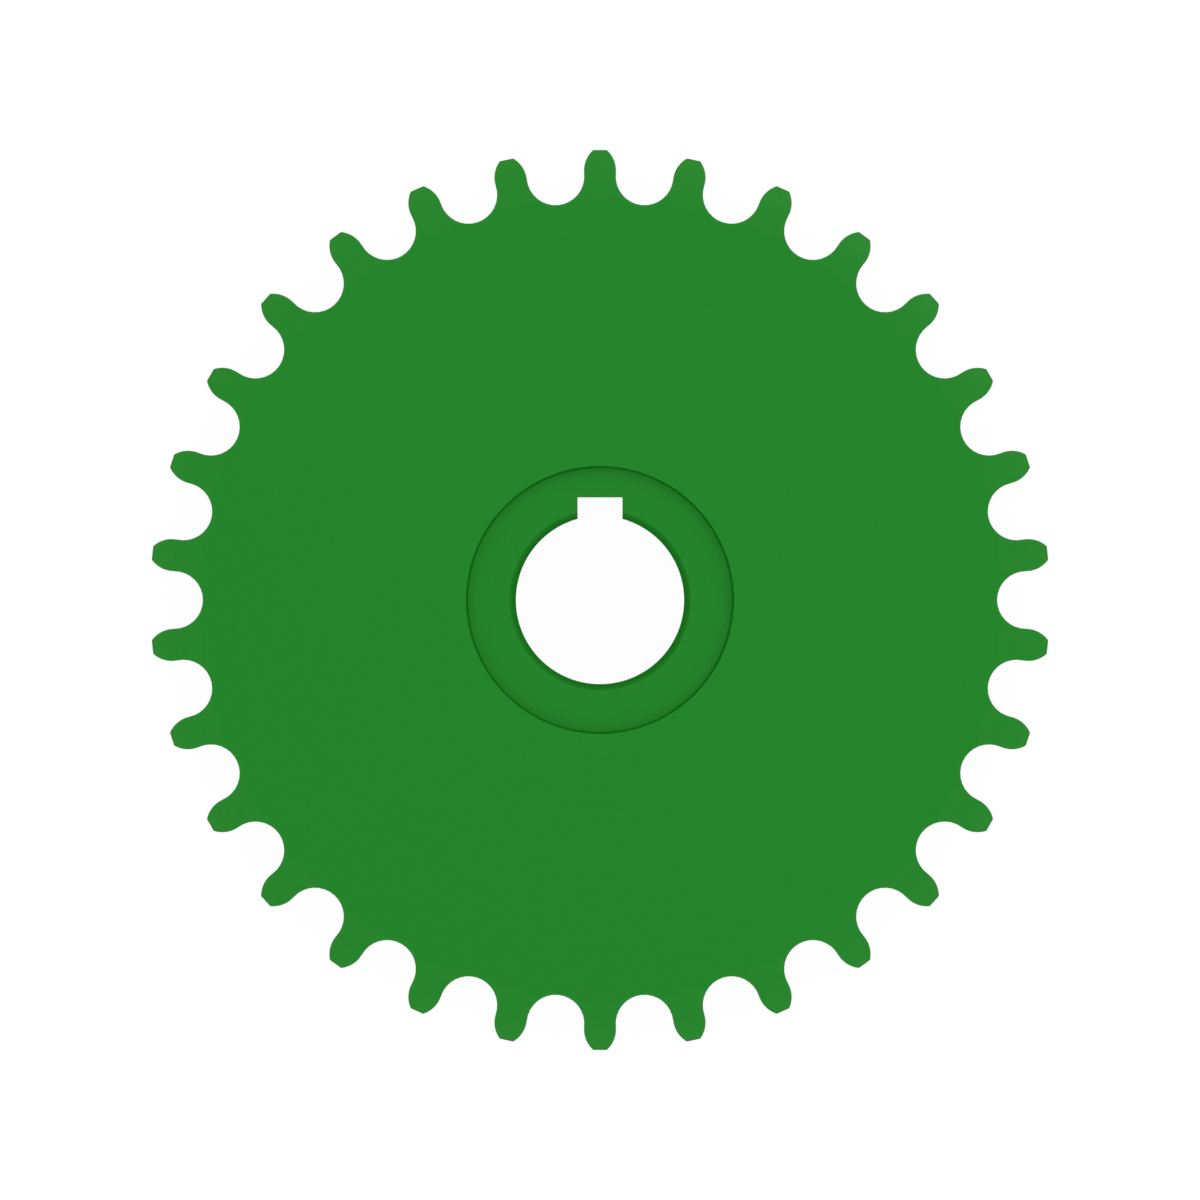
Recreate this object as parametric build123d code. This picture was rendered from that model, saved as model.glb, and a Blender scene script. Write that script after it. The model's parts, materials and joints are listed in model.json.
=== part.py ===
from build123d import *
from math import asin, cos, degrees, radians, sin, tan
import os

# Single-strand roller-chain sprocket, turned and cut in one piece, with a hub on one side.
# Lengths are millimetres and angles are degrees. The bore runs along Z, the end of the hub
# is at z = 0, the toothed plate is at the top, and the keyway opens towards +Y.

# Chain that runs on the teeth
chain_pitch = 15.875
roller_diameter = 10.16

# Teeth
tooth_count = 30
tooth_width = 8.7
seat_ratio = 0.505  # roller seat radius for each millimetre of roller diameter
topping_radius = 4.9  # rounded flank above the roller seat
tip_ratio = 0.6  # tip height over the pitch polygon, in pitches, across the diameter
side_radius = 15.875  # the tooth's sides curve in with this radius
side_relief = 2.06  # taken off each side at the tip

# Shaft fit
bore_diameter = 30.0
bore_chamfer = 1.25
key_width = 8.0
key_depth = 3.3  # from the crown of the bore to the bottom of the keyway

# Round recess in the front face
recess_diameter = 47.8  # at the mouth
recess_depth = 2.2
recess_draft = 10.0

# Hub behind the plate
length_through = 28.0  # from the hub's end to the front face
hub_diameter = 68.0
hub_chamfer = 1.5

# Chain geometry: roller centres stand on the pitch circle, one chain pitch apart
half_tooth_angle = 180 / tooth_count
pitch_radius = chain_pitch / (2 * sin(radians(half_tooth_angle)))
tip_radius = chain_pitch * (tip_ratio + 1 / tan(radians(half_tooth_angle))) / 2
seat_radius = seat_ratio * roller_diameter
seat_center = pitch_radius - roller_diameter / 2 + seat_radius
flank_offset = seat_radius + topping_radius

# Levels and radii of the turned section
front = length_through
back = length_through - tooth_width
recess_floor = front - recess_depth
bore_radius = bore_diameter / 2
hub_radius = hub_diameter / 2
recess_radius = recess_diameter / 2
floor_radius = recess_radius - recess_depth * tan(radians(recess_draft))
relief_angle = degrees(asin(1 - side_relief / side_radius))
relief_start = tip_radius - side_radius * cos(radians(relief_angle))
key_top = bore_radius + key_depth


def turned_blank():
    """The blank as it leaves the lathe: plate, hub, recess and chamfered bore."""
    with BuildPart() as blank:
        with BuildSketch(Plane.XZ):
            with BuildLine():
                Polyline(
                    (relief_start, front),
                    (recess_radius, front),
                    (floor_radius, recess_floor),
                    (bore_radius + bore_chamfer, recess_floor),
                    (bore_radius, recess_floor - bore_chamfer),
                    (bore_radius, bore_chamfer),
                    (bore_radius + bore_chamfer, 0),
                    (hub_radius - hub_chamfer, 0),
                    (hub_radius, hub_chamfer),
                    (hub_radius, back),
                    (relief_start, back),
                )
                CenterArc((relief_start, back + side_radius), side_radius, -90, 90 - relief_angle)
                Line((tip_radius, back + side_relief), (tip_radius, front - side_relief))
                CenterArc((relief_start, front - side_radius), side_radius, relief_angle, 90 - relief_angle)
            make_face()
        revolve(axis=Axis.Z)
    return blank.part


def tooth_gap():
    """The space between two teeth, with its centre line along X.

    The roller seat is half a circle, just wider than the roller, and a roller at the
    bottom of it has its centre on the pitch circle. Each flank leaves the seat
    tangentially and rounds away towards the tip of its tooth.
    """
    outside = max(tip_radius, seat_center + topping_radius) + topping_radius
    with BuildSketch() as gap:
        with BuildLine():
            CenterArc((seat_center, 0), seat_radius, 90, 180)
            CenterArc((seat_center, flank_offset), topping_radius, -90, 90)
            CenterArc((seat_center, -flank_offset), topping_radius, 90, -90)
            Polyline(
                (seat_center + topping_radius, flank_offset),
                (outside, flank_offset),
                (outside, -flank_offset),
                (seat_center + topping_radius, -flank_offset),
            )
        make_face()
    return gap.sketch


def sprocket():
    """The finished piece: the blank with its tooth gaps cut and its keyway broached."""
    with BuildPart() as piece:
        add(turned_blank())
        # A tooth stands in line with the keyway, so the first gap is half a tooth further on
        with BuildSketch():
            with PolarLocations(0, tooth_count, start_angle=90 + half_tooth_angle):
                add(tooth_gap())
        extrude(amount=length_through, mode=Mode.SUBTRACT)
        with BuildSketch():
            Rectangle(key_width, key_top, align=(Align.CENTER, Align.MIN))
        extrude(amount=length_through, mode=Mode.SUBTRACT)
    return piece.part


os.makedirs("parts", exist_ok=True)
export_step(sprocket(), "parts/sprocket.step")
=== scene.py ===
import bmesh
import bpy
import json
from math import acos, atan2, cos, hypot, pi, radians, sin, tan
from mathutils import Matrix, Vector


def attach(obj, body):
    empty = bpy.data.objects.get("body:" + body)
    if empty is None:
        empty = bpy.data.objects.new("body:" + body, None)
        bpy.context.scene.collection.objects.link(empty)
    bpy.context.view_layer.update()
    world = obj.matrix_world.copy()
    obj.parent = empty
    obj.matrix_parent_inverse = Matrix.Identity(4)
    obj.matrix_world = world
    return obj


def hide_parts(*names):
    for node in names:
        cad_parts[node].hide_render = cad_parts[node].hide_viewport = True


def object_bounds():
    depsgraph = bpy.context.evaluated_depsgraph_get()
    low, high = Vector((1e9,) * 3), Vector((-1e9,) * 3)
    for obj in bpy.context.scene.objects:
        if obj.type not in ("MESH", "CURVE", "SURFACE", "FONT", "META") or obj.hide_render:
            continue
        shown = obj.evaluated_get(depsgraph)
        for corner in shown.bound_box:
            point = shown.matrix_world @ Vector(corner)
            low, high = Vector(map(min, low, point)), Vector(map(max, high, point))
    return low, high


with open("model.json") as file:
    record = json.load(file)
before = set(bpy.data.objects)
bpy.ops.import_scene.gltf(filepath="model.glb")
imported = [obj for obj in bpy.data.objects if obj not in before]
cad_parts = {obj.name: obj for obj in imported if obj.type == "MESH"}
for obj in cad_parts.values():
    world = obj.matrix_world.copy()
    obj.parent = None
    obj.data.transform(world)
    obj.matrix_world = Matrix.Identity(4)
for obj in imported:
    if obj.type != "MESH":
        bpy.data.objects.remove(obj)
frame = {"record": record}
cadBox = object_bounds()

# the sprocket lies on the end of its hub, with its bore along Z and its keyway towards +Y
mm = 0.001
close = 0.001 * mm  # vertices nearer than this are one
axisZ = (0, 0, 1)
here = (0, 0, 0)


def linear(code):
    # sRGB hex to the linear colour that Blender works in
    parts = [int(code[i:i + 2], 16) / 255 for i in (1, 3, 5)]
    return [p / 12.92 if p <= 0.04045 else ((p + 0.055) / 1.055) ** 2.4 for p in parts] + [1.0]


def addNode(tree, kind, settings=None, links=None):
    # settings: socket or property values; links: socket name -> output socket
    node = tree.nodes.new(kind)
    for name, value in (settings or {}).items():
        if name in node.inputs:
            node.inputs[name].default_value = value
        else:
            setattr(node, name, value)
    for name, source in (links or {}).items():
        tree.links.new(source, node.inputs[name])
    return node


sprocketSizes = {
    "teeth": 30,
    "pitch": 15.875 * mm,
    "roller": 10.16 * mm,
    "seatShare": 0.505,        # seat radius for each millimetre of roller
    "tipShare": 0.6,           # tip height in pitches, across the diameter
    "topping": 4.9 * mm,       # flank radius above the roller seat
    "sideRadius": 15.875 * mm,
    "sideRelief": 2.06 * mm,
    "plate": 8.7 * mm,
    "hubRadius": 34.0 * mm,
    "hubChamfer": 1.5 * mm,
    "hubFillet": 1.2 * mm,     # left at the hub's foot by the nose of the turning tool
    "filletSteps": 5,
    "boreChamfer": 1.25 * mm,
    "recessRadius": 23.9 * mm,
    "recessDepth": 2.2 * mm,
    "recessDraft": radians(10),
    "keyWidth": 8.0 * mm,
    "keyDepth": 3.3 * mm,
    "keyCorner": 0.1 * mm,     # left in the corners by the broach
    "cornerSteps": 4,
    "keyOverrun": 5.0 * mm,    # the broach goes past both ends of the bore
    "softEdge": 0.08 * mm,     # edges broken before painting
    "softSteps": 2,
    "sharpAngle": radians(25),  # corners sharper than this are broken
    "smoothAngle": radians(50),  # turns gentler than this are shaded round
    "seatSteps": 8,            # faces along each arc of half a tooth
    "flankSteps": 6,
    "tipSteps": 2,
    "toothRows": 9,            # rows of faces from the tooth edge to the plain plate
    "rimWidth": 0.5 * mm,      # the row beside the tooth's edge
    "plainRadius": 66.0 * mm,  # inside this the plate is plain
    "seatSpread": 0.72,        # share of that circle that faces the roller seats
}


def boreRadius():
    bore = next(m for m in frame["record"]["mounts"] if m["name"] == "bore")
    return bore["dims"]["r_mm"] * mm


def placeRow(row, radius, level):
    # spreads a row evenly over half a tooth, on a circle
    halfTooth = pi / sprocketSizes["teeth"]
    for i, vert in enumerate(row):
        angle = halfTooth * i / (len(row) - 1)
        vert.co = (radius * cos(angle), radius * sin(angle), level)


def rowEdges(bm, row):
    return [bm.edges.get(pair) for pair in zip(row, row[1:])]


def extrudeRow(bm, row):
    # the new row lies on the old one, so each new vertex is known by its place
    decimals = 7
    order = {vert.co.to_tuple(decimals): i for i, vert in enumerate(row)}
    grown = bmesh.ops.extrude_edge_only(bm, edges=rowEdges(bm, row))["geom"]
    verts = [g for g in grown if isinstance(g, bmesh.types.BMVert)]
    return sorted(verts, key=lambda vert: order[vert.co.to_tuple(decimals)])


def arcFrom(bm, row, centre, angle, steps):
    # carries the row's last vertex round a centre
    last = row[-1]
    before = set(bm.verts)
    bmesh.ops.spin(bm, geom=[last], cent=centre, axis=axisZ, dvec=here, angle=angle,
                   space=Matrix.Identity(4), steps=steps, use_merge=False,
                   use_normal_flip=False, use_duplicate=False)
    bm.verts.index_update()
    fresh = sorted(set(bm.verts) - before, key=lambda vert: vert.index)
    row.extend(fresh)


def ringEdges(bm, radius, level):
    # the edges of one round corner of the section
    def onRing(vert):
        return abs(vert.co.xy.length - radius) < close and abs(vert.co.z - level) < close
    return [edge for edge in bm.edges if all(onRing(vert) for vert in edge.verts)]


def bevelEdges(bm, edges, width, steps=1):
    bmesh.ops.bevel(bm, geom=edges, offset=width, offset_type="OFFSET", affect="EDGES", segments=steps,
                    profile=0.5, material=-1, clamp_overlap=False, loop_slide=True)


def toothRow(bm, inset):
    # from the middle of a gap, along X, to the middle of the next tooth: round the roller seat, up
    # the flank and along the tip, all of it an inset inside the tooth's edge
    s = sprocketSizes
    step = pi / s["teeth"]
    tip = tipRadius() - inset
    seat = s["seatShare"] * s["roller"]
    root = (s["pitch"] / sin(step) - s["roller"]) / 2
    seatAt = root + seat
    flankAt = seat + s["topping"]
    topping = s["topping"] - inset
    reach = hypot(seatAt, flankAt)
    corner = acos((reach ** 2 + topping ** 2 - tip ** 2) / (2 * reach * topping))
    row = [bm.verts.new((root - inset, 0, 0))]
    arcFrom(bm, row, (seatAt, 0, 0), -pi / 2, s["seatSteps"])
    arcFrom(bm, row, (seatAt, flankAt, 0), corner + atan2(flankAt, seatAt) - pi / 2, s["flankSteps"])
    last = row[-1].co
    arcFrom(bm, row, here, step - atan2(last.y, last.x), s["tipSteps"])
    return row


def tipRadius():
    s = sprocketSizes
    return s["pitch"] * (s["tipShare"] + 1 / tan(pi / s["teeth"])) / 2


def reliefAt(radius):
    # how far the tooth's side has curved away at a radius
    s = sprocketSizes
    bend = s["sideRadius"]
    start = tipRadius() - (bend ** 2 - (bend - s["sideRelief"]) ** 2) ** 0.5
    over = max(0.0, radius - start)
    return bend - (bend ** 2 - over ** 2) ** 0.5


def plainCircle():
    # where the tooth's rows end, spread so that no two of their lines cross beside a seat
    s = sprocketSizes
    step = pi / s["teeth"]
    seatPart = s["seatSpread"] * step
    rest = s["flankSteps"] + s["tipSteps"]
    angles = [seatPart * i / s["seatSteps"] for i in range(s["seatSteps"])]
    angles += [seatPart + (step - seatPart) * i / rest for i in range(rest + 1)]
    return [Vector((s["plainRadius"] * cos(a), s["plainRadius"] * sin(a), 0)) for a in angles]


def dropRow(row, line, share, level, side):
    # between a line along the tooth (share 0) and the plain circle (share 1), on the curved side
    for vert, start, end in zip(row, line, plainCircle()):
        spot = start.lerp(end, share)
        spot.z = level - side * reliefAt(spot.length)
        vert.co = spot


def buildSprocket():
    s = sprocketSizes
    front = cadBox[1][2]
    back = front - s["plate"]
    bore = boreRadius()
    recessFloor = front - s["recessDepth"]
    floorRadius = s["recessRadius"] - s["recessDepth"] * tan(s["recessDraft"])
    rows = s["toothRows"]

    # the front of half a tooth, from its edge to the plain plate
    bm = bmesh.new()
    outline = toothRow(bm, 0)
    row = toothRow(bm, s["rimWidth"])
    edge, rim = [[vert.co.copy() for vert in line] for line in (outline, row)]
    bmesh.ops.bridge_loops(bm, edges=rowEdges(bm, outline) + rowEdges(bm, row))
    dropRow(outline, edge, 0, front, 1)
    dropRow(row, rim, 0, front, 1)
    for k in range(1, rows + 1):
        row = extrudeRow(bm, row)
        dropRow(row, rim, k / rows, front, 1)

    # the turned section: recess, bore, hub and the back of the plate
    section = [
        (s["recessRadius"], front), (floorRadius, recessFloor), (bore, recessFloor),
        (bore, 0), (s["hubRadius"], 0), (s["hubRadius"], back),
    ]
    for radius, level in section:
        row = extrudeRow(bm, row)
        placeRow(row, radius, level)

    # the back of the tooth, and the wall between its two sides
    for k in range(rows, -1, -1):
        row = extrudeRow(bm, row)
        dropRow(row, rim, k / rows, back, -1)
    row = extrudeRow(bm, row)
    dropRow(row, edge, 0, back, -1)
    bmesh.ops.bridge_loops(bm, edges=rowEdges(bm, row) + rowEdges(bm, outline))
    print("half a tooth:", len(bm.faces), "faces")

    # the other half, then all the teeth, with a tooth in line with the keyway
    bmesh.ops.mirror(bm, geom=bm.verts[:] + bm.edges[:] + bm.faces[:], axis="Y", merge_dist=-1)
    bmesh.ops.remove_doubles(bm, verts=bm.verts, dist=close)
    turn = Matrix.Rotation(pi / 2 + pi / s["teeth"], 3, "Z")
    bmesh.ops.rotate(bm, verts=bm.verts, cent=here, matrix=turn)
    whole = bm.verts[:] + bm.edges[:] + bm.faces[:]
    more = s["teeth"] - 1
    bmesh.ops.spin(bm, geom=whole, cent=here, axis=axisZ, dvec=here, angle=2 * pi * more / s["teeth"],
                   space=Matrix.Identity(4), steps=more, use_merge=False,
                   use_normal_flip=False, use_duplicate=True)
    bmesh.ops.remove_doubles(bm, verts=bm.verts, dist=close)
    bmesh.ops.recalc_face_normals(bm, faces=bm.faces)

    # chamfers and the fillet at the foot of the hub, then every sharp edge is just broken
    bevelEdges(bm, ringEdges(bm, bore, recessFloor), s["boreChamfer"])
    bevelEdges(bm, ringEdges(bm, bore, 0), s["boreChamfer"])
    bevelEdges(bm, ringEdges(bm, s["hubRadius"], 0), s["hubChamfer"])
    bevelEdges(bm, ringEdges(bm, s["hubRadius"], back), s["hubFillet"], s["filletSteps"])
    sharp = [edge for edge in bm.edges if edge.calc_face_angle(0) > s["sharpAngle"]]
    bevelEdges(bm, sharp, s["softEdge"], s["softSteps"])
    print("sprocket:", len(bm.faces), "faces, open edges", sum(not e.is_manifold for e in bm.edges))
    return bm


def keyCutter():
    # the broach: as wide as the key, from the bore's axis to the bottom of the keyway
    s = sprocketSizes
    top = boreRadius() + s["keyDepth"]
    past = s["keyOverrun"]
    height = cadBox[1][2] + 2 * past
    place = Matrix.Translation((0, top / 2, height / 2 - past))
    bm = bmesh.new()
    bmesh.ops.create_cube(bm, size=1, matrix=place @ Matrix.Diagonal((s["keyWidth"], top, height, 1)))

    def isCorner(edge):
        low, high = [vert.co for vert in edge.verts]
        return abs(low.z - high.z) > height / 2 and low.y > top / 2
    bevelEdges(bm, [edge for edge in bm.edges if isCorner(edge)], s["keyCorner"], s["cornerSteps"])
    return bm


def toObject(bm, name):
    mesh = bpy.data.meshes.new(name)
    bm.to_mesh(mesh)
    bm.free()
    piece = bpy.data.objects.new(name, mesh)
    bpy.context.scene.collection.objects.link(piece)
    return piece


def cutKeyway(piece):
    cutter = toObject(keyCutter(), "keyCutter")
    cut = piece.modifiers.new("keyway", "BOOLEAN")
    cut.object = cutter
    cut.operation = "DIFFERENCE"
    cut.solver = "EXACT"
    bpy.context.view_layer.update()
    depsgraph = bpy.context.evaluated_depsgraph_get()
    done = bpy.data.meshes.new_from_object(piece.evaluated_get(depsgraph))
    piece.modifiers.clear()
    piece.data = done
    bpy.data.objects.remove(cutter)


def finishSprocket():
    piece = toObject(buildSprocket(), "sprocketBody")
    cutKeyway(piece)
    piece.data.shade_smooth()
    piece.data.set_sharp_from_angle(angle=sprocketSizes["smoothAngle"])
    flats = piece.modifiers.new("flats", "WEIGHTED_NORMAL")  # wide faces look flat up to their edges
    flats.keep_sharp = True
    piece.data.materials.clear()
    piece.data.materials.append(greenEnamel())
    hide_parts("sprocket")
    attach(piece, "root")
    print("keyway cut:", len(piece.data.polygons), "faces")


enamelFinish = {
    "colour": "#127F1C",
    "deeper": "#117F1B",       # where the coat is thickest
    # colours painted where the surface isn't level: each colour, and how level the surface is, from 0 to
    # 1, where that colour begins and where it is all there is
    "paintedSlopeSheen": ("#1F8822", 0.99, 0.87),  # painted sheen: the sides of the teeth are painted lighter, as if they catch the light
    "paintedWallShade": ("#02760D", 0.88, 0.67),   # painted shade: walls are painted darker, as if they lie in shade
    "roughness": 0.5,
    "ior": 1.5,
    "specular": 0.22,
    "peel": 1.6 * mm,          # orange peel, crest to crest
    "peelHeight": 0.03 * mm,
    "peelDetail": 1.0,
    "latheRings": 1.4 * mm,    # left by turning, drawn wider and deeper than they are so that they show
    "ringHeight": 0.1 * mm,
    "drift": 24 * mm,          # slow change in the coat's thickness
}


def greenEnamel():
    # sprayed enamel on turned steel: a deep even green, with a painted sheen a little lighter down the
    # sides of the teeth and a painted shade darker on walls, satin, with a faint orange peel, and seen
    # from low down the rings of the turning show through it
    f = enamelFinish
    material = bpy.data.materials.new("satinGreenEnamel")
    material.use_nodes = True
    tree = material.node_tree
    tree.nodes.clear()
    surface = addNode(tree, "ShaderNodeTexCoord").outputs
    where = surface["Object"]
    drift = addNode(tree, "ShaderNodeTexNoise", {"Scale": 1 / f["drift"]}, {"Vector": where})
    coat = addNode(tree, "ShaderNodeMix", {
        "data_type": "RGBA", "A": linear(f["colour"]), "B": linear(f["deeper"]),
    }, {"Factor": drift.outputs["Fac"]}).outputs["Result"]
    upward = addNode(tree, "ShaderNodeSeparateXYZ", None, {"Vector": surface["Normal"]}).outputs["Z"]
    level = addNode(tree, "ShaderNodeMath", {"operation": "ABSOLUTE"}, {"Value": upward})
    # painted sheen on the teeth's sloping sides and painted shade on the walls, laid over the coat by
    # how level the surface is
    for colour, start, full in (f["paintedSlopeSheen"], f["paintedWallShade"]):
        share = addNode(tree, "ShaderNodeMapRange", {"From Min": start, "From Max": full},
                        {"Value": level.outputs["Value"]})
        coat = addNode(tree, "ShaderNodeMix", {"data_type": "RGBA", "B": linear(colour)},
                       {"Factor": share.outputs["Result"], "A": coat}).outputs["Result"]
    # the rings change only with the radius and the height, as on the lathe
    spot = addNode(tree, "ShaderNodeSeparateXYZ", None, {"Vector": where}).outputs
    across = addNode(tree, "ShaderNodeCombineXYZ", None, {"X": spot["X"], "Y": spot["Y"]})
    radius = addNode(tree, "ShaderNodeVectorMath", {"operation": "LENGTH"},
                     {"Vector": across.outputs["Vector"]})
    along = addNode(tree, "ShaderNodeCombineXYZ", None, {"X": radius.outputs["Value"], "Y": spot["Z"]})
    rings = addNode(tree, "ShaderNodeTexNoise", {"Scale": 1 / f["latheRings"]},
                    {"Vector": along.outputs["Vector"]})
    turned = addNode(tree, "ShaderNodeBump", {"Distance": f["ringHeight"]},
                     {"Height": rings.outputs["Fac"]})
    peel = addNode(tree, "ShaderNodeTexNoise", {"Scale": 1 / f["peel"], "Detail": f["peelDetail"]},
                   {"Vector": where})
    bump = addNode(tree, "ShaderNodeBump", {"Distance": f["peelHeight"]},
                   {"Height": peel.outputs["Fac"], "Normal": turned.outputs["Normal"]})
    paint = addNode(tree, "ShaderNodeBsdfPrincipled",
                    {"Roughness": f["roughness"], "IOR": f["ior"], "Specular IOR Level": f["specular"]},
                    {"Base Color": coat, "Normal": bump.outputs["Normal"]})
    addNode(tree, "ShaderNodeOutputMaterial", None, {"Surface": paint.outputs["BSDF"]})
    return material


studio = {
    "world": 0.3,              # share of the light on a level face that comes from all round
    "lampDistance": 1.2,
    # softboxes: share of that light, size, direction round the part and angle off its axis
    "softboxes": {
        "overhead": (0.295, 0.8, 0, 0),
        "keyUpperRight": (0.14, 0.85, radians(50), radians(44)),
        "topBox": (0.07, 0.85, radians(115), radians(42)),
        "leftBox": (0.06, 0.85, radians(185), radians(46)),
        "bottomBox": (0.08, 0.85, radians(262), radians(44)),
        "rightBox": (0.06, 0.85, radians(328), radians(46)),
    },
    "floorSize": 6.0,
    "floorColour": "#EBEBEB",
    "floorGlow": 1.05,         # white of its own, where it is looked at
    "floorShadow": 0.09,       # share of that look which is left to the light and the shadow
    "floorGap": 0.2 * mm,      # under the hub's end
    "fill": 0.75,              # the object's height over the picture's
    "cameraHeight": 0.6,
}


def seenDirectly(tree):
    # 1 for rays that show the background: camera, glossy and transmission
    path = addNode(tree, "ShaderNodeLightPath").outputs
    seen = path["Is Camera Ray"]
    for ray in ("Is Glossy Ray", "Is Transmission Ray"):
        either = addNode(tree, "ShaderNodeMath", {"operation": "MAXIMUM"})
        tree.links.new(seen, either.inputs[0])
        tree.links.new(path[ray], either.inputs[1])
        seen = either.outputs[0]
    return seen


def makeFloor():
    bm = bmesh.new()
    bmesh.ops.create_grid(bm, x_segments=1, y_segments=1, size=studio["floorSize"] / 2)
    bmesh.ops.translate(bm, verts=bm.verts, vec=(0, 0, -studio["floorGap"]))
    floor = toObject(bm, "floor")
    material = bpy.data.materials.new("whitePaper")
    material.use_nodes = True
    tree = material.node_tree
    tree.nodes.clear()
    matte = addNode(tree, "ShaderNodeBsdfDiffuse", {"Color": linear(studio["floorColour"])})
    glow = addNode(tree, "ShaderNodeEmission", {"Strength": studio["floorGlow"]})
    shown = addNode(tree, "ShaderNodeMath", {"operation": "MULTIPLY"})
    tree.links.new(seenDirectly(tree), shown.inputs[0])
    shown.inputs[1].default_value = 1 - studio["floorShadow"]
    mixed = addNode(tree, "ShaderNodeMixShader", None, {"Fac": shown.outputs[0]})
    tree.links.new(matte.outputs[0], mixed.inputs[1])
    tree.links.new(glow.outputs[0], mixed.inputs[2])
    # only its top is there, so that the underside can be looked at
    oneSided = addNode(tree, "ShaderNodeMixShader", None,
                       {"Fac": addNode(tree, "ShaderNodeNewGeometry").outputs["Backfacing"]})
    tree.links.new(mixed.outputs[0], oneSided.inputs[1])
    tree.links.new(addNode(tree, "ShaderNodeBsdfTransparent").outputs[0], oneSided.inputs[2])
    addNode(tree, "ShaderNodeOutputMaterial", None, {"Surface": oneSided.outputs[0]})
    floor.data.materials.append(material)
    print("floor:", studio["floorSize"], "m square")


def makeWorld():
    world = bpy.data.worlds.new("studio")
    bpy.context.scene.world = world
    world.use_nodes = True
    tree = world.node_tree
    tree.nodes.clear()
    white = linear("#FFFFFF")
    soft = addNode(tree, "ShaderNodeBackground", {"Color": white, "Strength": studio["world"]})
    shown = addNode(tree, "ShaderNodeBackground", {"Color": white})
    mixed = addNode(tree, "ShaderNodeMixShader", None, {"Fac": seenDirectly(tree)})
    tree.links.new(soft.outputs[0], mixed.inputs[1])
    tree.links.new(shown.outputs[0], mixed.inputs[2])
    addNode(tree, "ShaderNodeOutputWorld", None, {"Surface": mixed.outputs[0]})


def makeSoftboxes():
    # square lamps aimed at the part, each giving its share of the light on a level face
    distance = studio["lampDistance"]
    for name, (share, size, azimuth, tilt) in studio["softboxes"].items():
        lamp = bpy.data.lights.new(name, "AREA")
        lamp.shape = "SQUARE"
        lamp.size = size
        lamp.energy = share * pi ** 2 * distance ** 2 / cos(tilt)
        box = bpy.data.objects.new(name, lamp)
        box.location = distance * Vector((sin(tilt) * cos(azimuth), sin(tilt) * sin(azimuth), cos(tilt)))
        box.rotation_euler = box.location.to_track_quat("Z", "Y").to_euler()
        box.visible_glossy = tilt > 0  # the overhead one lights the faces without a glare on them
        bpy.context.scene.collection.objects.link(box)
    print("light:", len(studio["softboxes"]), "softboxes")


def makeCamera():
    # square on to the front face, with the keyway at the top
    camera = bpy.data.cameras.new("camera")
    camera.type = "ORTHO"
    camera.ortho_scale = (cadBox[1][1] - cadBox[0][1]) / studio["fill"]
    view = bpy.data.objects.new("camera", camera)
    view.location = (0, 0, studio["cameraHeight"])
    bpy.context.scene.collection.objects.link(view)
    bpy.context.scene.camera = view
    print("camera: picture", round(camera.ortho_scale / mm, 1), "mm across")


finishSprocket()
makeFloor()
makeWorld()
makeSoftboxes()
makeCamera()
bpy.context.scene.view_settings.view_transform = "Standard"
